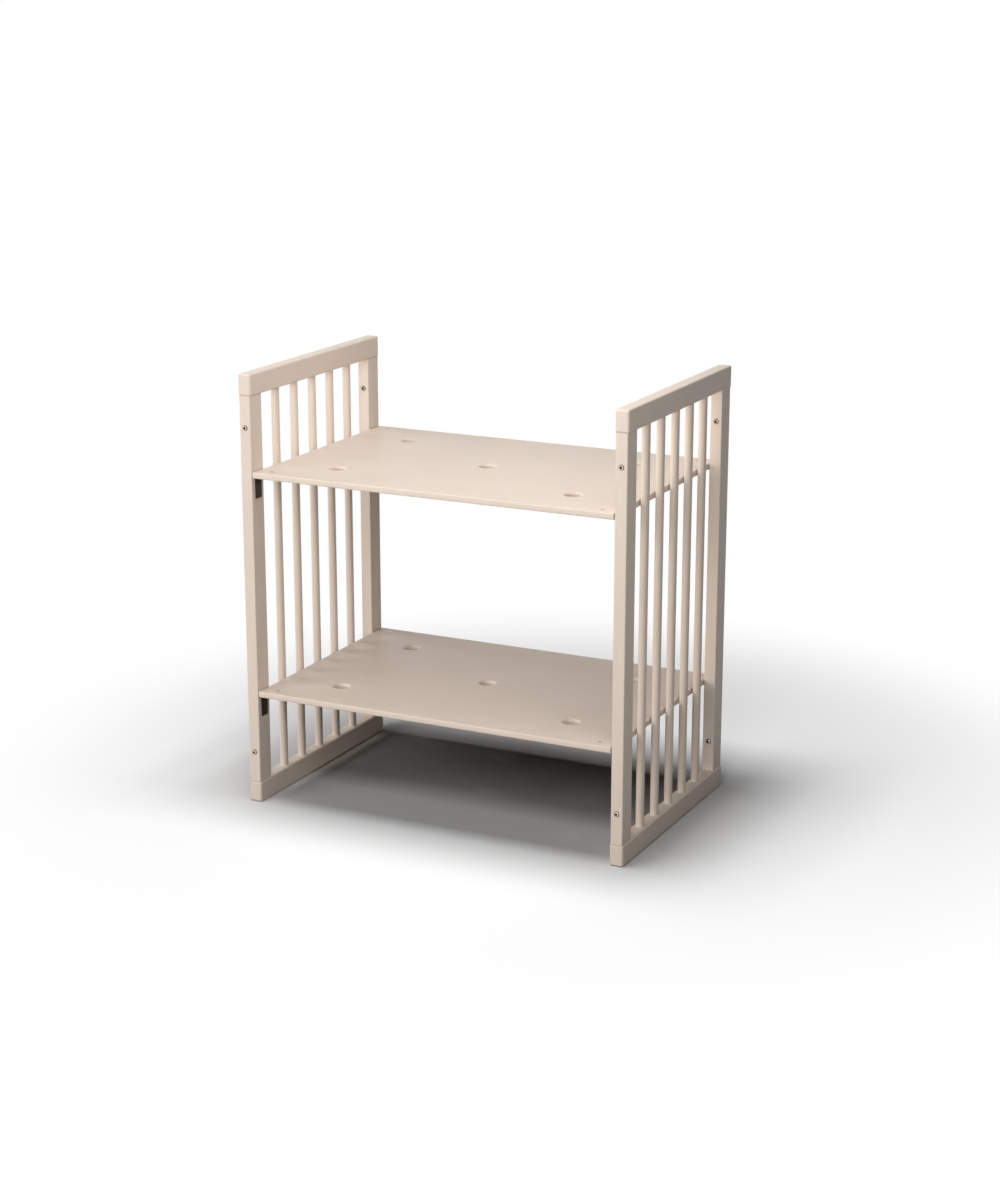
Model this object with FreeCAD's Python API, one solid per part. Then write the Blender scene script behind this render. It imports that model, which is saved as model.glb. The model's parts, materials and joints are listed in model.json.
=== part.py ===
import FreeCAD, Part
import math
import os

# A convertible crib set up as a rack: two slatted end panels with two boards between them.
# Millimetres. X runs from panel to panel, Y from front to rear, Z up, origin on the floor in the middle.

# Overall sizes
overall_width = 808.0
panel_depth = 500.0
overall_height = 860.0

# End panels: the rails cap the posts and stand a little proud of them towards both sides
post_thickness = 24.0
post_width = 42.0
post_edge_radius = 2.0
rail_thickness = 27.0
rail_height = 42.0
rail_edge_radius = 3.0
rail_end_chamfer = 2.5

# Spindles, glued into blind holes in the rails
spindle_count = 5
spindle_diameter = 16.0
spindle_pitch = 69.5
spindle_seat_depth = 14.0

# Loose tenons between the ends of a post and its rails
tenon_thickness = 8.0
tenon_width = 24.0
tenon_length = 44.0
mortise_end_space = 1.0

# Boards
board_thickness = 12.0
board_edge_radius = 2.0
board_end_chamfer = 1.0
board_end_clearance = 0.5
vent_diameter = 40.0
vent_spacing_x = 500.0
vent_spacing_y = 292.0

# Rows of bracket fixings on the posts: one half way up, the others this far above and below it
row_pitch = 220.0

# Brackets, bent from flat steel
bracket_width = 20.0
bracket_thickness = 2.0
bracket_bend_radius = 1.5
bracket_leg_down = 42.0
bracket_leg_across = 42.0
bracket_tip_chamfer = 1.0
bracket_bolt_drop = 9.0
bracket_screw_reach = 32.5

# Bolts with button heads: through the brackets into the posts, and parked in the connector holes
bolt_diameter = 6.0
bolt_head_diameter = 10.5
bolt_crown_diameter = 6.0
bolt_head_height = 3.3
bolt_head_rim = 1.0
bracket_bolt_length = 18.0
connector_bolt_length = 34.0
connector_end_distance = 103.5

# Caps that close the spare bolt holes in the middle row
cap_diameter = 10.0
cap_crown_diameter = 8.0
cap_height = 1.0
cap_stem_length = 8.0

# Board screws with countersunk heads, tapped into the brackets
screw_diameter = 5.0
screw_head_diameter = 9.5
screw_projection = 2.5

# Clearances on the radius: glued and threaded fits, and the screws that lift out with a board
fit_clearance = 0.1
lift_clearance = 0.25

# Flats round the small fasteners and round the holes for them and for the spindles
hole_sides = 10

# Places that follow from the sizes above
panel_x = (overall_width - rail_thickness) / 2
post_inner_x = panel_x - post_thickness / 2
rail_inner_x = panel_x - rail_thickness / 2
post_y = (panel_depth - post_width) / 2
post_top = overall_height - rail_height
post_height = post_top - rail_height
middle_row = overall_height / 2
lower_row = middle_row - row_pitch
upper_row = middle_row + row_pitch
board_length = 2 * (rail_inner_x - board_end_clearance)
connector_heights = (connector_end_distance, overall_height - connector_end_distance)
spindle_places = [(index - (spindle_count - 1) / 2) * spindle_pitch for index in range(spindle_count)]

# Names of the sides, with the direction of each side from the middle
PANELS = {"left": -1, "right": 1}
POSTS = {"front": -1, "rear": 1}
BOARD_ROWS = {"upper": upper_row, "lower": lower_row}

X = FreeCAD.Vector(1, 0, 0)
Y = FreeCAD.Vector(0, 1, 0)
UP = FreeCAD.Vector(0, 0, 1)


def vector(x, y, z):
    return FreeCAD.Vector(x, y, z)


def block(size_x, size_y, size_z, centre_x, centre_y, bottom_z):
    """A plain block, given by its sizes, the middle of its foot and the height of its foot."""
    corner = vector(centre_x - size_x / 2, centre_y - size_y / 2, bottom_z)
    return Part.makeBox(size_x, size_y, size_z, corner)


def edges_along(shape, axis):
    """The straight edges of a shape that run along an axis."""
    found = []
    for edge in shape.Edges:
        along = edge.Vertexes[-1].Point - edge.Vertexes[0].Point
        if edge.Curve.TypeId == "Part::GeomLine" and abs(along.dot(axis)) > along.Length / 2:
            found.append(edge)
    return found


def end_outlines(shape, axis):
    """The edges round the two flat ends of a bar that runs along an axis."""
    found = []
    for face in shape.Faces:
        if face.Surface.TypeId == "Part::GeomPlane" and abs(face.Surface.Axis.dot(axis)) > math.sqrt(0.5):
            found += face.Edges
    return found


def rounded_bar(bar, axis, radius, end_chamfer):
    """A bar with its long edges rounded and its end faces chamfered all round."""
    rounded = bar.makeFillet(radius, edges_along(bar, axis))
    return rounded.makeChamfer(end_chamfer, end_outlines(rounded, axis))


def one_solid(shape):
    """The single solid that a cut or a fusion leaves."""
    return shape.removeSplitter().Solids[0]


def place(shape, position, direction):
    """A copy of a shape made along Z at the origin, turned so that its Z axis runs along direction."""
    placed = shape.copy()
    placed.Placement = FreeCAD.Placement(position, FreeCAD.Rotation(UP, direction))
    return placed


def placed_at(shape, seats):
    """One copy of a shape at each seat, as a list of separate solids."""
    return [place(shape, position, direction) for position, direction in seats]


# Fasteners, each made along Z with the seat of its head at the origin


def stack(rings):
    """A many-sided solid through rings given as (diameter over corners, height), from the top down."""
    wires = []
    for diameter, height in rings:
        corners = []
        for index in range(hole_sides):
            angle = 2 * math.pi * index / hole_sides
            corners.append(vector(diameter / 2 * math.cos(angle), diameter / 2 * math.sin(angle), height))
        wires.append(Part.makePolygon(corners + corners[:1]))
    return Part.makeLoft(wires, True, True)


def shank(diameter, length):
    """A plain shank, or the hole for one, that hangs from its seat."""
    return stack([(diameter, 0), (diameter, -length)])


def button_bolt(length):
    """A bolt with a button head."""
    head = stack([
        (bolt_crown_diameter, bolt_head_height),
        (bolt_head_diameter, bolt_head_rim),
        (bolt_head_diameter, 0),
    ])
    return one_solid(head.fuse(shank(bolt_diameter, length)))


def hole_cap():
    """A low cap on a stem that fills the mouth of a bolt hole."""
    head = stack([(cap_crown_diameter, cap_height), (cap_diameter, 0)])
    return one_solid(head.fuse(shank(bolt_diameter, cap_stem_length)))


def countersunk(clearance):
    """A countersunk screw whose head is flush with its seat, or the hole for one, grown by a clearance."""
    head = screw_head_diameter + 2 * clearance
    thread = screw_diameter + 2 * clearance
    neck_z = -(head - thread) / 2
    return stack([(head, 0), (thread, neck_z), (thread, -board_thickness - bracket_thickness - screw_projection)])


# Seats of the fasteners, each as a list of (position, direction that the head faces)


def bracket_bolt_seats(panel, heights):
    """Where the bolt holes open in the inner faces of a panel's posts."""
    side = PANELS[panel]
    seats = []
    for depth in POSTS.values():
        for height in heights:
            seats.append((vector(side * post_inner_x, depth * post_y, height), X * -side))
    return seats


def connector_seats(panel):
    """Where the connector bolts stand on the front faces of a panel's posts."""
    seats = []
    for depth in POSTS.values():
        for height in connector_heights:
            seats.append((vector(PANELS[panel] * panel_x, depth * post_y - post_width / 2, height), -Y))
    return seats


def board_screw_seats(height):
    """Where the four screws of a board stand, at one height."""
    seats = []
    for side in PANELS.values():
        for depth in POSTS.values():
            x = side * (post_inner_x - bracket_screw_reach)
            seats.append((vector(x, depth * post_y, height), UP))
    return seats


def moved_outwards(seats, distance):
    """The same seats, moved along the direction that their heads face."""
    return [(position + direction * distance, direction) for position, direction in seats]


# Pieces of the end panels


def mortises(panel, joint_z, direction):
    """Cutters for the tenons of a panel's posts, that open at joint_z and run along direction."""
    depth = tenon_length / 2 + mortise_end_space
    foot_z = min(joint_z, joint_z + direction * depth)
    cutters = []
    for post in POSTS.values():
        cutters.append(block(
            tenon_thickness + 2 * fit_clearance, tenon_width + 2 * fit_clearance, depth,
            PANELS[panel] * panel_x, post * post_y, foot_z,
        ))
    return cutters


def make_rail(panel, foot_z, joint_z, direction):
    """A rail with blind holes for its spindles and tenons, that open at joint_z and run along direction."""
    x = PANELS[panel] * panel_x
    bar = block(rail_thickness, panel_depth, rail_height, x, 0, foot_z)
    rail = rounded_bar(bar, Y, rail_edge_radius, rail_end_chamfer)
    over_corners = (spindle_diameter + 2 * fit_clearance) / math.cos(math.pi / hole_sides)
    spindle_seats = [(vector(x, y, joint_z), UP * -direction) for y in spindle_places]
    cutters = placed_at(shank(over_corners, spindle_seat_depth), spindle_seats)
    return one_solid(rail.cut(cutters + mortises(panel, joint_z, direction)))


def make_post(panel, post):
    """A post with mortises in its ends, connector holes right through and rows of blind bolt holes."""
    bar = block(
        post_thickness, post_width, post_height, PANELS[panel] * panel_x, POSTS[post] * post_y, rail_height
    )
    blank = bar.makeFillet(post_edge_radius, edges_along(bar, UP))
    cutters = mortises(panel, rail_height, 1) + mortises(panel, post_top, -1)
    hole_diameter = bolt_diameter + 2 * fit_clearance
    cutters += placed_at(shank(hole_diameter, post_width), connector_seats(panel))
    bolt_seats = bracket_bolt_seats(panel, (lower_row, middle_row, upper_row))
    cutters += placed_at(shank(hole_diameter, bracket_bolt_length), bolt_seats)
    return one_solid(blank.cut(cutters))


def make_tenons(panel):
    """The tenons of a panel, half in the posts and half in the rails."""
    tenons = []
    for joint_z in (rail_height, post_top):
        for post in POSTS.values():
            tenons.append(block(
                tenon_thickness, tenon_width, tenon_length,
                PANELS[panel] * panel_x, post * post_y, joint_z - tenon_length / 2,
            ))
    return Part.Compound(tenons)


def make_spindle(panel, y):
    """A spindle that runs from rail to rail, with its ends at the bottoms of their holes."""
    foot = vector(PANELS[panel] * panel_x, y, rail_height - spindle_seat_depth)
    return Part.makeCylinder(spindle_diameter / 2, post_height + 2 * spindle_seat_depth, foot, UP)


# Boards and their brackets


def make_board(foot_z):
    """A board with rounded edges, vent holes and countersunk holes at its corners."""
    bar = block(board_length, panel_depth, board_thickness, 0, 0, foot_z)
    board = rounded_bar(bar, X, board_edge_radius, board_end_chamfer)
    vent_places = [(0, 0)]
    for step_x in (-1, 1):
        for step_y in (-1, 1):
            vent_places.append((step_x * vent_spacing_x / 2, step_y * vent_spacing_y / 2))
    cutters = []
    for x, y in vent_places:
        cutters.append(Part.makeCylinder(vent_diameter / 2, board_thickness, vector(x, y, foot_z), UP))
    cutters += placed_at(countersunk(fit_clearance), board_screw_seats(foot_z + board_thickness))
    return one_solid(board.cut(cutters))


def make_bracket(panel, post, foot_z):
    """A bent bracket: one leg down the post, the other under the board whose underside is at foot_z."""
    side = PANELS[panel]
    outer_bend = bracket_bend_radius + bracket_thickness
    diagonal = 1 - math.sqrt(0.5)
    inner_middle = bracket_thickness + bracket_bend_radius * diagonal

    def at(inward, down):
        return vector(side * (post_inner_x - inward), POSTS[post] * post_y - bracket_width / 2, foot_z - down)

    outside = Part.Arc(
        at(0, outer_bend), at(outer_bend * diagonal, outer_bend * diagonal), at(outer_bend, 0)
    ).toShape()
    inside = Part.Arc(
        at(outer_bend, bracket_thickness), at(inner_middle, inner_middle), at(bracket_thickness, outer_bend)
    ).toShape()
    across = Part.makePolygon([
        at(outer_bend, 0),
        at(bracket_leg_across, 0),
        at(bracket_leg_across, bracket_thickness),
        at(outer_bend, bracket_thickness),
    ])
    down = Part.makePolygon([
        at(bracket_thickness, outer_bend),
        at(bracket_thickness, bracket_leg_down),
        at(0, bracket_leg_down),
        at(0, outer_bend),
    ])
    outline = Part.Wire([outside] + across.Edges + [inside] + down.Edges)
    strip = Part.Face(outline).extrude(Y * bracket_width)
    tip_corners = []
    for edge in strip.Edges:
        middle = edge.CenterOfMass
        at_end = post_inner_x - side * middle.x > bracket_leg_across - fit_clearance
        at_foot = foot_z - middle.z > bracket_leg_down - fit_clearance
        if (at_end or at_foot) and abs(edge.Length - bracket_thickness) < fit_clearance:
            tip_corners.append(edge)
    bracket = strip.makeChamfer(bracket_tip_chamfer, tip_corners)
    y = POSTS[post] * post_y
    bolt_mouth = vector(side * (post_inner_x - bracket_thickness), y, foot_z - bracket_bolt_drop)
    screw_mouth = vector(side * (post_inner_x - bracket_screw_reach), y, foot_z)
    holes = [
        place(shank(bolt_diameter + 2 * fit_clearance, bracket_thickness), bolt_mouth, X * -side),
        place(shank(screw_diameter + 2 * lift_clearance, bracket_thickness), screw_mouth, UP),
    ]
    return one_solid(bracket.cut(holes))


nodes = {}

for panel in PANELS:
    nodes[f"{panel}_bottom_rail"] = make_rail(panel, 0, rail_height, -1)
    nodes[f"{panel}_top_rail"] = make_rail(panel, post_top, post_top, 1)
    for post in POSTS:
        nodes[f"{panel}_{post}_post"] = make_post(panel, post)
    for number, y in enumerate(spindle_places, 1):
        nodes[f"{panel}_spindle_{number}"] = make_spindle(panel, y)
    nodes[f"{panel}_tenons"] = make_tenons(panel)
    connector_bolts = placed_at(button_bolt(connector_bolt_length), connector_seats(panel))
    nodes[f"{panel}_connector_bolts"] = Part.Compound(connector_bolts)
    hole_caps = placed_at(hole_cap(), bracket_bolt_seats(panel, (middle_row,)))
    nodes[f"{panel}_hole_caps"] = Part.Compound(hole_caps)

for board, row in BOARD_ROWS.items():
    foot_z = row + bracket_bolt_drop
    nodes[f"{board}_board"] = make_board(foot_z)
    board_screws = placed_at(countersunk(0), board_screw_seats(foot_z + board_thickness))
    nodes[f"{board}_board_screws"] = Part.Compound(board_screws)
    bracket_bolts = []
    for panel in PANELS:
        for post in POSTS:
            nodes[f"{board}_{panel}_{post}_bracket"] = make_bracket(panel, post, foot_z)
        seats = moved_outwards(bracket_bolt_seats(panel, (row,)), bracket_thickness)
        bracket_bolts += placed_at(button_bolt(bracket_bolt_length), seats)
    nodes[f"{board}_bracket_bolts"] = Part.Compound(bracket_bolts)

os.makedirs("parts", exist_ok=True)
for name, shape in nodes.items():
    shape.exportStep(f"parts/{name}.step")
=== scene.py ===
"""The looks of a convertible crib set up as a rack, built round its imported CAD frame. Metres, +Z up."""
import json
import math

import bmesh
import bpy
from mathutils import Matrix, Vector

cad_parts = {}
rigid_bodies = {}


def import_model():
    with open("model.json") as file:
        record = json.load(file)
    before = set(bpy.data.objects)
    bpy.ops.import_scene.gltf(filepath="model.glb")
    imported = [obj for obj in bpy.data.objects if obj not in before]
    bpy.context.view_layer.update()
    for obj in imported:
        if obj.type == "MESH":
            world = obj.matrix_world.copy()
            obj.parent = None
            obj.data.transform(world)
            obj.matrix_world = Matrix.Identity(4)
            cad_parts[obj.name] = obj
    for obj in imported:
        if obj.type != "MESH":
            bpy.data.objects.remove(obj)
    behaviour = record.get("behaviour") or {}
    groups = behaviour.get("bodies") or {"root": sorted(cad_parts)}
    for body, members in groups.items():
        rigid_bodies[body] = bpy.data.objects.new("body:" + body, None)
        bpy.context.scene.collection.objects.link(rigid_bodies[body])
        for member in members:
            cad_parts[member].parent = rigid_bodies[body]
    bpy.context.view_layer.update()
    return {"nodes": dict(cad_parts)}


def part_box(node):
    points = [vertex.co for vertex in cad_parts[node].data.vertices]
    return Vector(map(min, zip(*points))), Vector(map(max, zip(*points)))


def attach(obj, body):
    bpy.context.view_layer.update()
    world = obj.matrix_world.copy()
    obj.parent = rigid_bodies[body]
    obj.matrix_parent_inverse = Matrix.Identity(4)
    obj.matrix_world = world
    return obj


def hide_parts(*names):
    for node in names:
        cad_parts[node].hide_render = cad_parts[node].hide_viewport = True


# Blender's start-up objects would count in the object's box
for leftover in list(bpy.data.objects):
    bpy.data.objects.remove(leftover)

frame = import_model()

MM = 0.001
UP = Vector((0, 0, 1))
TO_FRONT = Vector((0, -1, 0))

# Names in the CAD, the panels with the direction of each from the middle
PANEL_SIDES = {"left": -1, "right": 1}
POSTS = ("front", "rear")
BOARDS = ("upper", "lower")
SPINDLE_COUNT = 5

# The camera's place, turn and lens, as the photograph was taken
CAMERA_LOCATION = (2.0322, -4.0594, 1.6758)
CAMERA_TILT = math.radians(74.322)
CAMERA_TURN = math.radians(26.279)
CAMERA_LENS = 71.94

# Colours, in linear light
LACQUER = (0.80, 0.68, 0.58, 1)
LACQUER_DEEP = (0.77, 0.645, 0.545, 1)
BARE_WOOD = (0.50, 0.32, 0.17, 1)
BARE_WOOD_DARK = (0.36, 0.21, 0.10, 1)
BRACKET_COAT = (0.026, 0.017, 0.010, 1)
BRACKET_COAT_WORN = (0.040, 0.027, 0.017, 1)
NICKEL = (0.88, 0.77, 0.67, 1)
NICKEL_DARK = (0.70, 0.59, 0.50, 1)
# Painted shade on the bolt heads: a dark metal for the outer steps of their domes, their chamfers and their
# sockets, where shade falls
PAINTED_SHADE_METAL = (0.050, 0.030, 0.018, 1)
PAINTED_SHADE_METAL_DEEP = (0.026, 0.015, 0.009, 1)
PALE_ZINC = (0.68, 0.58, 0.50, 1)
PALE_ZINC_WORN = (0.58, 0.49, 0.42, 1)
BLACK_STEEL = (0.034, 0.023, 0.015, 1)
BLACK_STEEL_WORN = (0.060, 0.043, 0.030, 1)
CAP_PLASTIC = (0.78, 0.68, 0.585, 1)
CAP_PLASTIC_DEEP = (0.74, 0.64, 0.55, 1)
WHITE = (1, 1, 1, 1)

# How far the lacquer rounds an edge
EDGE_SOFTNESS = 2 * MM
EDGE_SAMPLES = 6

# Scale of the wood's grain and of scratches on metal along them, against 1 across them
LACQUER_GRAIN = 0.03
BARE_GRAIN = 0.06
SCRATCH_GRAIN = 0.15

# How finely meshes are divided, which edges stay smooth, and what counts as the same height
RING_SEGMENTS = 48
RING_ANGLES = [2 * math.pi * step / RING_SEGMENTS for step in range(RING_SEGMENTS)]
HEXAGON_TURN = math.pi / 3
DOME_STEPS = 6
ROUNDING_STEPS = 5
HEIGHT_TOLERANCE = 0.1 * MM
SMOOTH_ANGLE = math.radians(35)

# Hexagon sockets: their mouth and the dip in their floor have radii in shares of the width across the flats
SOCKET_MOUTH_SHARE = 0.66
SOCKET_LIP = 0.1 * MM
SOCKET_DIP_SHARE = 0.2
SOCKET_DIP = 0.5 * MM

# Bolts with domed heads, with painted shade in a dark metal on the first steps of the dome and in the socket
DARK_DOME_STEPS = 2
BOLT_SOCKET_WIDTH = 4 * MM
BOLT_SOCKET_DEPTH = 2 * MM
BOLT_HEAD_CHAMFER = 0.2 * MM
BOLT_RIM_HEIGHT = 0.7 * MM
BOLT_SHANK_RADIUS = 3 * MM
BOLT_TIP_CHAMFER = 0.6 * MM
CONNECTOR_SHANK_LENGTH = 34 * MM
BRACKET_SHANK_LENGTH = 18 * MM
BRACKET_HEAD_RADIUS = 5.25 * MM
BRACKET_HEAD_HEIGHT = 3.3 * MM
BRACKET_THICKNESS = 2 * MM

# Board screws, whose countersunk heads slope by 45 degrees up to a rim
SCREW_HEAD_RADIUS = 4.75 * MM
SCREW_RIM_HEIGHT = 0.3 * MM
SCREW_RIM_INSET = 0.18 * MM
SCREW_SHANK_RADIUS = 2.5 * MM
SCREW_TIP_CHAMFER = 0.5 * MM
SCREW_SOCKET_WIDTH = 3 * MM
SCREW_SOCKET_DEPTH = 1.8 * MM

# Caps on the spare bolt holes
CAP_STEM_LENGTH = 8 * MM
CAP_STEM_CHAMFER = 0.5 * MM
CAP_RIM_HEIGHT = 0.35 * MM
CAP_CROWN_SHARE = 0.06

# Boards: rounded long edges and ends, and vents with rounded mouths
BOARD_EDGE_RADIUS = 2 * MM
BOARD_END_RADIUS = 1 * MM
VENT_SPACING_X = 500 * MM
VENT_SPACING_Y = 292 * MM
VENT_MOUTH_RADIUS = 20 * MM
VENT_ROUNDING = 5 * MM
SCREW_CLEARANCE = 0.1 * MM

# Tones of a fastener, as places in its list of materials; the dark one paints shade on bolt heads
BRIGHT = 0
DARK = 1

# The floor's width, its colour to the eye, and its colour to the light that it throws back
FLOOR_SIZE = 120
FLOOR_COLOUR = (0.50, 0.50, 0.50, 1)
FLOOR_BOUNCE = (0.08, 0.08, 0.08, 1)

# Where the floor starts and ends going over into the white background, as distances from a point on it
FADE_CENTRE = (0.04, 0.19, 0)
FADE_START = 0.47
FADE_END = 1.25

# The backdrop's strength to the eye, where 1 is white, and as a light
BACKDROP_STRENGTH = 1.0
WORLD_STRENGTH = 0.005

# Soft boxes: name, place, what it faces, width and power. Those over the floor light the floor alone, to keep
# its shadow clear, and the others light the object alone
FLOOR_LAMPS = (
    ("floor_near", (0.15, -0.07, 2.03), (0.15, -0.07, 0), 0.43, 28.5),
    ("floor_top", (-0.16, -0.26, 3.42), (-0.16, -0.26, 0), 1.23, 106.6),
    ("floor_right", (0.98, -2.58, 2.79), (0.98, -2.58, 0), 1.0, 58.6),
    ("floor_left", (-2.64, -4.21, 2.63), (-2.64, -4.21, 0), 3.0, 183),
)
OBJECT_CENTRE = (0, 0, 0.43)
OBJECT_LAMPS = (
    ("inner", (0.25, -0.5, 1.5), OBJECT_CENTRE, 0.5, 2.1),
    ("top", (0, 0, 1.9), OBJECT_CENTRE, 0.9, 6.1),
    ("top_left", (-0.7, -0.2, 1.7), OBJECT_CENTRE, 0.9, 1.3),
    ("front", (0, -1.5, 1.4), OBJECT_CENTRE, 0.9, 5.1),
    ("low_right", (0.8, -1.5, 0.7), OBJECT_CENTRE, 0.9, 2.1),
    ("left", (-2.97, 0, 1.63), OBJECT_CENTRE, 1.8, 32),
    ("far_left", (-1.8, -2.56, 1.1), OBJECT_CENTRE, 1.8, 54.4),
    ("front_right", (2.1, -2.1, 1.63), OBJECT_CENTRE, 1.8, 25.8),
    ("back", (0, 2.97, 1.63), OBJECT_CENTRE, 1.8, 12),
)


# Materials


def add(tree, kind, inputs=None, **settings):
    """A new shader node, with its settings and with its inputs set to values or linked to sockets."""
    made = tree.nodes.new(kind)
    for key, value in settings.items():
        setattr(made, key, value)
    for key, value in (inputs or {}).items():
        if isinstance(value, bpy.types.NodeSocket):
            tree.links.new(value, made.inputs[key])
        else:
            made.inputs[key].default_value = value
    return made


def new_material(name):
    """An empty node material and its tree."""
    material = bpy.data.materials.new(name)
    material.use_nodes = True
    material.node_tree.nodes.clear()
    return material, material.node_tree


def finish_material(tree, inputs):
    """Ends a tree in a Principled shader with the given inputs."""
    shader = add(tree, "ShaderNodeBsdfPrincipled", inputs)
    add(tree, "ShaderNodeOutputMaterial", {"Surface": shader.outputs["BSDF"]})


def noise(tree, lumps, detail=2.0, roughness=0.5, stretch=(1, 1, 1)):
    """Noise fixed to the piece, with so many lumps to the metre, drawn out where its stretch is below 1."""
    place = add(tree, "ShaderNodeTexCoord").outputs["Object"]
    mapping = add(tree, "ShaderNodeMapping", {"Vector": place, "Scale": stretch})
    inputs = {"Vector": mapping.outputs["Vector"], "Scale": lumps, "Detail": detail, "Roughness": roughness}
    return add(tree, "ShaderNodeTexNoise", inputs).outputs["Fac"]


def between(tree, factor, low, high, from_low=0.3, from_high=0.7):
    """Maps a span of a factor, by default the usual span of a noise, to a range of values."""
    inputs = {"Value": factor, "From Min": from_low, "From Max": from_high, "To Min": low, "To Max": high}
    return add(tree, "ShaderNodeMapRange", inputs).outputs["Result"]


def mixed_colour(tree, factor, first, second):
    """A colour between two, by a factor."""
    made = add(tree, "ShaderNodeMix", data_type="RGBA")
    tree.links.new(factor, made.inputs["Factor"])
    for socket in made.inputs:
        if socket.type == "RGBA":
            socket.default_value = second if socket.name == "B" else first
    return next(socket for socket in made.outputs if socket.type == "RGBA")


def patchy_colour(tree, pattern, first, second):
    """A colour that goes from one to another with a noise."""
    return mixed_colour(tree, between(tree, pattern, low=0, high=1), first, second)


def bumped(tree, height, distance, strength, normal=None):
    """A normal bent by a height that spans so many metres."""
    inputs = {"Height": height, "Distance": distance, "Strength": strength}
    if normal is not None:
        inputs["Normal"] = normal
    return add(tree, "ShaderNodeBump", inputs).outputs["Normal"]


def lacquer_material(name, stretch):
    """Satin lacquer sprayed on wood, whose grain runs along the axis that stretch gives."""
    material, tree = new_material(name)
    tone = noise(tree, lumps=7, detail=3)
    grain = noise(tree, lumps=160, detail=4, roughness=0.6, stretch=stretch)
    shade = add(tree, "ShaderNodeMath", {0: tone, 1: grain}, operation="MULTIPLY").outputs[0]
    depth = between(tree, shade, low=0, high=1, from_low=0.12, from_high=0.42)
    colour = mixed_colour(tree, depth, LACQUER, LACQUER_DEEP)
    peel = noise(tree, lumps=700, detail=1)
    soft_edge = add(tree, "ShaderNodeBevel", {"Radius": EDGE_SOFTNESS}, samples=EDGE_SAMPLES)
    normal = bumped(tree, grain, distance=0.12 * MM, strength=0.16, normal=soft_edge.outputs["Normal"])
    normal = bumped(tree, peel, distance=0.05 * MM, strength=0.10, normal=normal)
    finish_material(tree, {
        "Base Color": colour,
        "Roughness": between(tree, noise(tree, lumps=60, detail=3), low=0.40, high=0.50),
        "Specular IOR Level": 0.25,
        "Normal": normal,
    })
    return material


def bare_wood_material():
    """Bare beech with its flecks."""
    material, tree = new_material("bare_wood")
    grain = noise(tree, lumps=220, detail=5, roughness=0.65, stretch=(1, 1, BARE_GRAIN))
    finish_material(tree, {
        "Base Color": patchy_colour(tree, grain, BARE_WOOD, BARE_WOOD_DARK),
        "Roughness": between(tree, grain, low=0.55, high=0.75),
        "Normal": bumped(tree, grain, distance=0.2 * MM, strength=0.3),
    })
    return material


def powder_coat_material():
    """Dark powder coat with its fine pebbled skin."""
    material, tree = new_material("bracket_coat")
    pebble = noise(tree, lumps=1500)
    finish_material(tree, {
        "Base Color": patchy_colour(tree, noise(tree, lumps=90), BRACKET_COAT, BRACKET_COAT_WORN),
        "Roughness": between(tree, pebble, low=0.45, high=0.62),
        "Specular IOR Level": 0.15,
        "Normal": bumped(tree, pebble, distance=0.1 * MM, strength=0.25),
    })
    return material


def metal_material(name, colour, worn, roughness):
    """Plated steel, brushed a little and unevenly bright, with a lowest and a highest roughness."""
    material, tree = new_material(name)
    smoothest, roughest = roughness
    scratch = noise(tree, lumps=1800, detail=3, stretch=(1, SCRATCH_GRAIN, SCRATCH_GRAIN))
    finish_material(tree, {
        "Base Color": patchy_colour(tree, noise(tree, lumps=300), colour, worn),
        "Metallic": 1.0,
        "Roughness": between(tree, scratch, low=smoothest, high=roughest),
        "Normal": bumped(tree, scratch, distance=0.02 * MM, strength=0.2),
    })
    return material


def plastic_material():
    """Moulded matte plastic."""
    material, tree = new_material("cap_plastic")
    grain = noise(tree, lumps=1600)
    finish_material(tree, {
        "Base Color": patchy_colour(tree, noise(tree, lumps=120), CAP_PLASTIC, CAP_PLASTIC_DEEP),
        "Roughness": between(tree, grain, low=0.45, high=0.6),
        "Normal": bumped(tree, grain, distance=0.05 * MM, strength=0.2),
    })
    return material


materials = {
    "along_x": lacquer_material("lacquer_along_x", (LACQUER_GRAIN, 1, 1)),
    "along_y": lacquer_material("lacquer_along_y", (1, LACQUER_GRAIN, 1)),
    "along_z": lacquer_material("lacquer_along_z", (1, 1, LACQUER_GRAIN)),
    "bare_wood": bare_wood_material(),
    "bracket": powder_coat_material(),
    "nickel": metal_material("bolt_nickel", NICKEL, NICKEL_DARK, roughness=(0.18, 0.34)),
    # A dark metal that paints shade on the bolts' dome rims, chamfers and sockets
    "painted_shade": metal_material("bolt_painted_shade", PAINTED_SHADE_METAL, PAINTED_SHADE_METAL_DEEP, roughness=(0.40, 0.55)),
    "zinc": metal_material("screw_zinc", PALE_ZINC, PALE_ZINC_WORN, roughness=(0.40, 0.55)),
    "black_steel": metal_material("black_steel", BLACK_STEEL, BLACK_STEEL_WORN, roughness=(0.35, 0.5)),
    "plastic": plastic_material(),
}


# CAD nodes that keep their shapes


def paint(node, material):
    """Gives a CAD node a material."""
    slots = frame["nodes"][node].data.materials
    slots.clear()
    slots.append(materials[material])


for panel in PANEL_SIDES:
    for rail in ("bottom_rail", "top_rail"):
        paint(f"{panel}_{rail}", "along_y")
    for post in POSTS:
        paint(f"{panel}_{post}_post", "along_z")
    for number in range(1, SPINDLE_COUNT + 1):
        paint(f"{panel}_spindle_{number}", "along_z")
    paint(f"{panel}_tenons", "bare_wood")
    for board in BOARDS:
        for post in POSTS:
            paint(f"{board}_{panel}_{post}_bracket", "bracket")


# Meshes made of rings


def ring_point(radius, angle, height):
    """A point at a distance from Z, at an angle round it and at a height."""
    return Vector((radius * math.cos(angle), radius * math.sin(angle), height))


def round_ring(radius, height):
    """Points round a circle about Z."""
    return [ring_point(radius, angle, height) for angle in RING_ANGLES]


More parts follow.
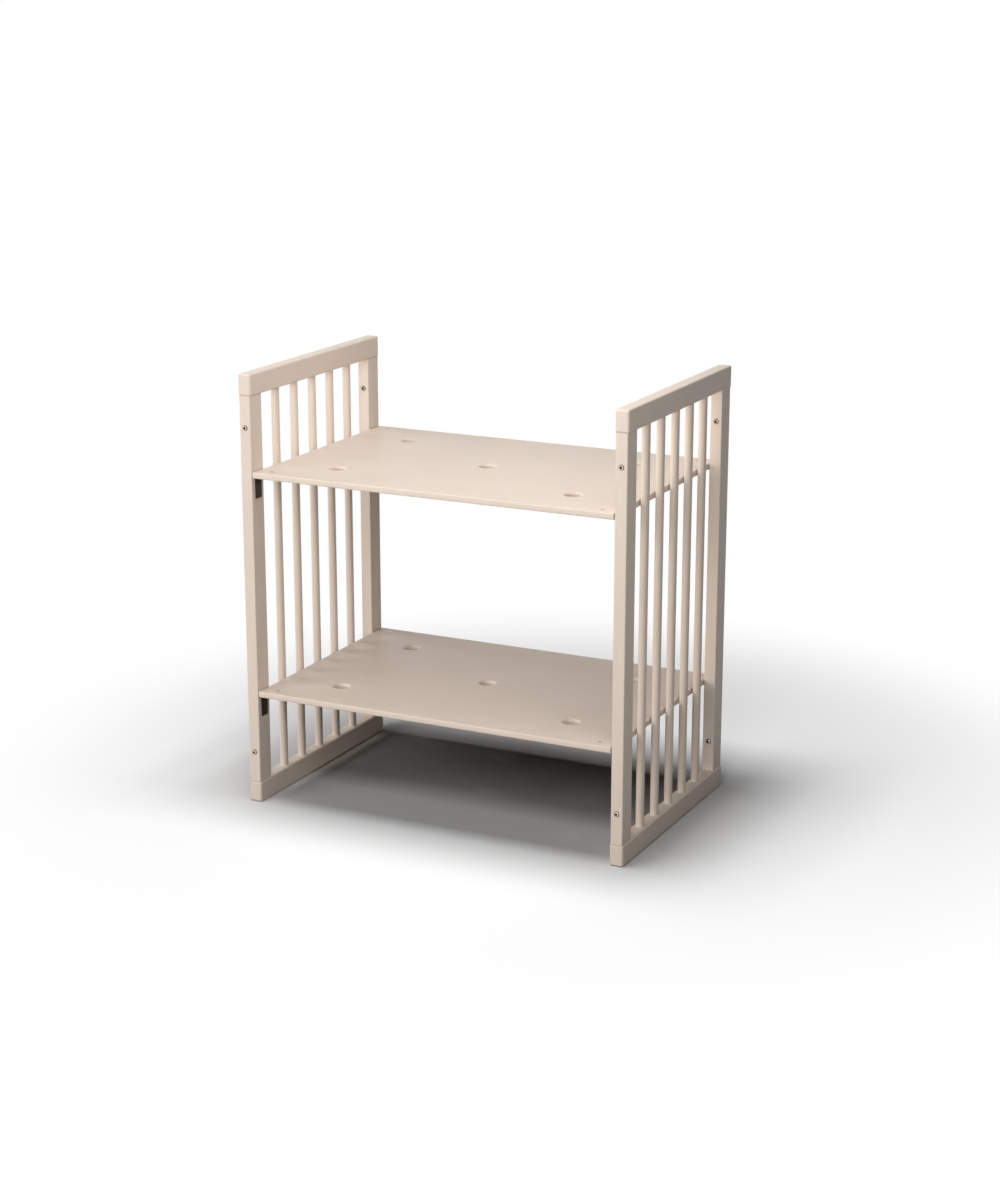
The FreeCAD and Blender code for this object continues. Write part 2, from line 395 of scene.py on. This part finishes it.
def hexagon_ring(width, height):
    """Points round a hexagon about Z, with its width measured across the flats."""
    points = []
    for angle in RING_ANGLES:
        from_flat = angle % HEXAGON_TURN - HEXAGON_TURN / 2
        points.append(ring_point(width / 2 / math.cos(from_flat), angle, height))
    return points


def add_band(shape, low, high, tone=BRIGHT):
    """Adds the faces between two rings of a mesh's points."""
    for index in range(len(low)):
        following = (index + 1) % len(low)
        corners = (low[index], low[following], high[following], high[index])
        shape.faces.new(corners).material_index = tone


def finish_piece(name, shape, body, tones, replaced):
    """Makes a mesh into a piece that rides on a body and stands for a CAD node."""
    bmesh.ops.recalc_face_normals(shape, faces=shape.faces)
    smooth = [face.smooth for face in shape.faces]
    mesh = bpy.data.meshes.new(name)
    shape.to_mesh(mesh)
    shape.free()
    # Finding the sharp edges makes every face smooth, so the flat ones are set again
    mesh.set_sharp_from_angle(angle=SMOOTH_ANGLE)
    mesh.polygons.foreach_set("use_smooth", smooth)
    for material in tones:
        mesh.materials.append(materials[material])
    piece = bpy.data.objects.new(name, mesh)
    bpy.context.scene.collection.objects.link(piece)
    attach(piece, body)
    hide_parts(replaced)


# Fasteners, each made along Z with the seat of its head at the origin


def shank_rings(radius, length, chamfer, top=0):
    """Rings up a plain shank from its chamfered tip."""
    return [
        round_ring(radius - chamfer, -length),
        round_ring(radius, -length + chamfer),
        round_ring(radius, top),
    ]


def dome_rings(radius, rim, height, inner_radius):
    """Rings over a domed head, from the top of its rim in to a smaller ring."""
    rise = height - rim
    sphere = (radius ** 2 + rise ** 2) / (2 * rise)
    rings = []
    for step in range(DOME_STEPS + 1):
        at = radius + (inner_radius - radius) * step / DOME_STEPS
        rings.append(round_ring(at, height - sphere + math.sqrt(sphere ** 2 - at ** 2)))
    return rings


def socket_rings(width, depth, mouth_height):
    """Rings down a hexagon socket, from just below its mouth to the dip in its floor."""
    floor_height = mouth_height - depth
    return [
        hexagon_ring(width, mouth_height - SOCKET_LIP),
        hexagon_ring(width, floor_height),
        round_ring(width * SOCKET_DIP_SHARE, floor_height - SOCKET_DIP),
    ]


def toned(tone, rings):
    """Rings that each go with a tone."""
    return [(tone, ring) for ring in rings]


def bolt_rings(head_radius, head_height, shank_length):
    """A button head with a hexagon socket, on a plain shank, with the dark tone painting shade on the head's
    chamfer, the outer steps of its dome and the socket.
    """
    shank = shank_rings(BOLT_SHANK_RADIUS, shank_length, BOLT_TIP_CHAMFER)
    chamfer = [round_ring(head_radius - BOLT_HEAD_CHAMFER, 0), round_ring(head_radius, BOLT_HEAD_CHAMFER)]
    mouth_radius = BOLT_SOCKET_WIDTH * SOCKET_MOUTH_SHARE
    *dome, mouth = dome_rings(head_radius, BOLT_RIM_HEIGHT, head_height, mouth_radius)
    socket = socket_rings(BOLT_SOCKET_WIDTH, BOLT_SOCKET_DEPTH, mouth[0].z)
    return [
        *toned(BRIGHT, shank),
        # The dark tone paints shade on the chamfer, the dome's outer steps and the socket
        *toned(DARK, chamfer),
        *toned(DARK, dome[:DARK_DOME_STEPS]),
        *toned(BRIGHT, dome[DARK_DOME_STEPS:]),
        *toned(DARK, [mouth, *socket]),
    ]


def screw_rings(length):
    """A countersunk head with a hexagon socket, flush with its seat, on a plain shank."""
    neck = -(SCREW_HEAD_RADIUS - SCREW_SHANK_RADIUS)
    return toned(BRIGHT, [
        *shank_rings(SCREW_SHANK_RADIUS, length, SCREW_TIP_CHAMFER, neck),
        round_ring(SCREW_HEAD_RADIUS - SCREW_RIM_HEIGHT, -SCREW_RIM_HEIGHT),
        round_ring(SCREW_HEAD_RADIUS - SCREW_RIM_INSET, 0),
        round_ring(SCREW_SOCKET_WIDTH * SOCKET_MOUTH_SHARE, 0),
        *socket_rings(SCREW_SOCKET_WIDTH, SCREW_SOCKET_DEPTH, 0),
    ])


def cap_rings(radius, height):
    """A low domed cap on a stem."""
    return toned(BRIGHT, [
        *shank_rings(BOLT_SHANK_RADIUS, CAP_STEM_LENGTH, CAP_STEM_CHAMFER),
        round_ring(radius, 0),
        *dome_rings(radius, CAP_RIM_HEIGHT, height, radius * CAP_CROWN_SHARE),
    ])


def add_rings(shape, rings, place):
    """Adds a closed solid to a mesh, through rings that each have the tone of the band after them."""
    rows = [[shape.verts.new(place @ point) for point in ring] for _, ring in rings]
    tones = [tone for tone, _ in rings]
    for tone, low, high in zip(tones, rows, rows[1:]):
        add_band(shape, low, high, tone)
    shape.faces.new(reversed(rows[0])).material_index = tones[0]
    shape.faces.new(rows[-1]).material_index = tones[-1]


def fasteners(name, rings, seats, body, tones, replaced):
    """One piece with a fastener at each seat, given as (position, direction of the head), for a CAD node."""
    shape = bmesh.new()
    for position, direction in seats:
        turn = UP.rotation_difference(direction).to_matrix().to_4x4()
        add_rings(shape, rings, Matrix.Translation(position) @ turn)
    for face in shape.faces:
        face.smooth = True
    finish_piece(name, shape, body, tones, replaced)


def middle(node):
    """The middle of a CAD node's box."""
    low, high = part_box(node)
    return (low + high) / 2


def inner_seats(panel, height, gap=0):
    """Seats on a panel's posts for heads that face the other panel, at a height and a gap off the posts."""
    side = PANEL_SIDES[panel]
    seats = []
    for post in POSTS:
        node = f"{panel}_{post}_post"
        low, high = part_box(node)
        face_x = low.x if side > 0 else high.x
        seats.append((Vector((face_x - side * gap, middle(node).y, height)), Vector((-side, 0, 0))))
    return seats


def make_connectors(panel):
    """The bolts in the front faces of a panel's posts, two to a post."""
    node = f"{panel}_connector_bolts"
    low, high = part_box(node)
    radius = (high.x - low.x) / 2
    head_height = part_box(f"{panel}_front_post")[0].y - low.y
    seats = []
    for post in POSTS:
        face_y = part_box(f"{panel}_{post}_post")[0].y
        for z in (low.z + radius, high.z - radius):
            seats.append((Vector((middle(node).x, face_y, z)), TO_FRONT))
    rings = bolt_rings(radius, head_height, CONNECTOR_SHANK_LENGTH)
    # The second material paints shade on the heads' rims, chamfers and sockets
    fasteners(f"{panel}_connectors", rings, seats, "frame", ("nickel", "painted_shade"), node)


def make_caps(panel):
    """The caps on the inner faces of a panel's posts, one to a post."""
    node = f"{panel}_hole_caps"
    low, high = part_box(node)
    seats = inner_seats(panel, middle(node).z)
    face = seats[0][0]
    cap_height = abs(face.x) - min(abs(low.x), abs(high.x))
    rings = cap_rings((high.z - low.z) / 2, cap_height)
    fasteners(f"{panel}_caps", rings, seats, "frame", ("plastic",), node)


def screw_places(board):
    """The middles of a board's screw heads on its top face."""
    low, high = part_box(f"{board}_board_screws")
    columns = (low.x + SCREW_HEAD_RADIUS, high.x - SCREW_HEAD_RADIUS)
    return [Vector((x, middle(f"left_{post}_post").y, high.z)) for x in columns for post in POSTS]


def make_screws(board):
    """The screws at a board's corners, which go up with it."""
    node = f"{board}_board_screws"
    low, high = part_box(node)
    seats = [(place, UP) for place in screw_places(board)]
    rings = screw_rings(high.z - low.z)
    fasteners(f"{board}_screws", rings, seats, f"{board}_shelf", ("zinc",), node)


def make_bracket_bolts(board):
    """The bolts through a board's brackets into the posts, with one steel for both tones."""
    node = f"{board}_bracket_bolts"
    seats = []
    for panel in PANEL_SIDES:
        seats += inner_seats(panel, middle(node).z, gap=BRACKET_THICKNESS)
    rings = bolt_rings(BRACKET_HEAD_RADIUS, BRACKET_HEAD_HEIGHT, BRACKET_SHANK_LENGTH)
    fasteners(f"{board}_bolts", rings, seats, "frame", ("black_steel", "black_steel"), node)


# Boards


def rounding(radius):
    """Steps over a rounded edge from its flat face on, each as (way out, way down)."""
    steps = []
    for step in range(ROUNDING_STEPS + 1):
        angle = math.pi / 2 * step / ROUNDING_STEPS
        steps.append((radius * math.sin(angle), radius * (1 - math.cos(angle))))
    return steps


def edge_rings(low, high):
    """Rings round the outside of a board, from its top face down to its underside."""
    rings = []
    for out, down in rounding(BOARD_EDGE_RADIUS):
        inset_y = BOARD_EDGE_RADIUS - out
        inset_x = inset_y * BOARD_END_RADIUS / BOARD_EDGE_RADIUS
        left, right = low.x + inset_x, high.x - inset_x
        front, rear = low.y + inset_y, high.y - inset_y
        rings.append((down, ((left, front), (right, front), (right, rear), (left, rear))))
    top_rings = [[Vector((x, y, high.z - down)) for x, y in corners] for down, corners in rings]
    under_rings = [[Vector((x, y, low.z + down)) for x, y in corners] for down, corners in reversed(rings)]
    return top_rings + under_rings


def vent_rings(thickness):
    """Rings down a vent from its rounded mouth, with the board's top face at the origin."""
    rings = [round_ring(VENT_MOUTH_RADIUS - out, -down) for out, down in rounding(VENT_ROUNDING)]
    return rings + [round_ring(VENT_MOUTH_RADIUS - VENT_ROUNDING, -thickness)]


def screw_hole_rings(thickness):
    """Rings down a countersunk hole, with the board's top face at the origin."""
    head = SCREW_HEAD_RADIUS + SCREW_CLEARANCE
    shank = SCREW_SHANK_RADIUS + SCREW_CLEARANCE
    return [round_ring(head, 0), round_ring(shank, shank - head), round_ring(shank, -thickness)]


def vent_places(low, high):
    """The vents' middles on a board's top face: one in the middle and four round it."""
    centre = (low + high) / 2
    corners = [(x, y) for x in (-1, 1) for y in (-1, 1)]
    offsets = [(0, 0)] + [(x * VENT_SPACING_X / 2, y * VENT_SPACING_Y / 2) for x, y in corners]
    return [Vector((centre.x + x, centre.y + y, high.z)) for x, y in offsets]


def add_wall(shape, rings, place=Vector()):
    """Adds a wall through rings to a mesh, open at both ends."""
    rows = [[shape.verts.new(point + place) for point in ring] for ring in rings]
    for low, high in zip(rows, rows[1:]):
        add_band(shape, low, high)


def add_flat_face(shape, height):
    """Fills a mesh between its open edges at a height, round the holes, with flat faces."""
    open_edges = [edge for edge in shape.edges if edge.is_boundary]
    rim = [edge for edge in open_edges
           if all(abs(point.co.z - height) < HEIGHT_TOLERANCE for point in edge.verts)]
    for part in bmesh.ops.triangle_fill(shape, use_beauty=True, edges=rim)["geom"]:
        part.smooth = False


def make_board(board):
    """A board with rounded edges, rounded vents and countersunk holes."""
    node = f"{board}_board"
    low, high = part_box(node)
    thickness = high.z - low.z
    shape = bmesh.new()
    add_wall(shape, edge_rings(low, high))
    for place in vent_places(low, high):
        add_wall(shape, vent_rings(thickness), place)
    for place in screw_places(board):
        add_wall(shape, screw_hole_rings(thickness), place)
    for face in shape.faces:
        face.smooth = True
    for height in (low.z, high.z):
        add_flat_face(shape, height)
    finish_piece(f"{board}_shelf_board", shape, f"{board}_shelf", ("along_x",), node)


# Floor, lights and camera


def seen_directly(tree):
    """1 for rays from the camera, and for those that metal and glass send on, else 0."""
    path = add(tree, "ShaderNodeLightPath").outputs
    sent_on = add(tree, "ShaderNodeMath", {0: path["Is Glossy Ray"], 1: path["Is Transmission Ray"]},
                  operation="MAXIMUM").outputs[0]
    return add(tree, "ShaderNodeMath", {0: path["Is Camera Ray"], 1: sent_on}, operation="MAXIMUM").outputs[0]


def floor_material():
    """A pale floor that keeps the shadow and goes over into the white background with distance."""
    material, tree = new_material("floor")
    place = add(tree, "ShaderNodeTexCoord").outputs["Object"]
    distance = add(tree, "ShaderNodeVectorMath", {0: place, 1: FADE_CENTRE}, operation="DISTANCE")
    span = {"Value": distance.outputs["Value"], "From Min": FADE_START, "From Max": FADE_END}
    fade = add(tree, "ShaderNodeMapRange", span, interpolation_type="SMOOTHSTEP").outputs["Result"]
    lit = add(tree, "ShaderNodeBsdfDiffuse", {"Color": FLOOR_COLOUR}).outputs[0]
    glow = add(tree, "ShaderNodeEmission", {"Color": WHITE, "Strength": BACKDROP_STRENGTH}).outputs[0]
    shown = add(tree, "ShaderNodeMixShader", {0: fade, 1: lit, 2: glow}).outputs[0]
    bounce = add(tree, "ShaderNodeBsdfDiffuse", {"Color": FLOOR_BOUNCE}).outputs[0]
    surface = add(tree, "ShaderNodeMixShader", {0: seen_directly(tree), 1: bounce, 2: shown}).outputs[0]
    add(tree, "ShaderNodeOutputMaterial", {"Surface": surface})
    return material


def make_floor():
    """A wide flat floor at the origin's height."""
    mesh = bpy.data.meshes.new("floor")
    half = FLOOR_SIZE / 2
    corners = [(-half, -half, 0), (half, -half, 0), (half, half, 0), (-half, half, 0)]
    mesh.from_pydata(corners, [], [(0, 1, 2, 3)])
    mesh.materials.append(floor_material())
    floor = bpy.data.objects.new("floor", mesh)
    bpy.context.scene.collection.objects.link(floor)
    return floor


def make_world():
    """A white backdrop to the eye that lights the object only softly."""
    world = bpy.data.worlds.new("studio")
    bpy.context.scene.world = world
    world.use_nodes = True
    tree = world.node_tree
    tree.nodes.clear()
    soft = add(tree, "ShaderNodeBackground", {"Color": WHITE, "Strength": WORLD_STRENGTH}).outputs[0]
    shown = add(tree, "ShaderNodeBackground", {"Color": WHITE, "Strength": BACKDROP_STRENGTH}).outputs[0]
    surface = add(tree, "ShaderNodeMixShader", {0: seen_directly(tree), 1: soft, 2: shown}).outputs[0]
    add(tree, "ShaderNodeOutputWorld", {"Surface": surface})


def receivers(name, floor, state):
    """A set of receivers for lamps that includes only the floor, or everything but the floor."""
    group = bpy.data.collections.new(name)
    group.objects.link(floor)
    group.collection_objects[0].light_linking.link_state = state
    return group


def make_lamps(lamps, group):
    """Square soft boxes for one set of receivers. Gloss shows the white backdrop in their place."""
    for name, place, aim, width, power in lamps:
        data = bpy.data.lights.new(name, "AREA")
        data.size = width
        data.energy = power
        lamp = bpy.data.objects.new(name, data)
        lamp.location = place
        lamp.rotation_euler = (Vector(place) - Vector(aim)).to_track_quat("Z", "Y").to_euler()
        lamp.visible_camera = False
        lamp.visible_glossy = False
        lamp.light_linking.receiver_collection = group
        bpy.context.scene.collection.objects.link(lamp)


def make_camera():
    """The scene's camera, at the photograph's viewing angle."""
    data = bpy.data.cameras.new("camera")
    data.lens = CAMERA_LENS
    camera = bpy.data.objects.new("camera", data)
    camera.location = CAMERA_LOCATION
    camera.rotation_euler = (CAMERA_TILT, 0, CAMERA_TURN)
    bpy.context.scene.collection.objects.link(camera)
    bpy.context.scene.camera = camera


for panel in PANEL_SIDES:
    make_connectors(panel)
    make_caps(panel)
for board in BOARDS:
    make_board(board)
    make_screws(board)
    make_bracket_bolts(board)

floor = make_floor()
make_world()
make_lamps(FLOOR_LAMPS, receivers("floor_alone", floor, "INCLUDE"))
make_lamps(OBJECT_LAMPS, receivers("object_alone", floor, "EXCLUDE"))
make_camera()
bpy.context.scene.view_settings.view_transform = "Standard"
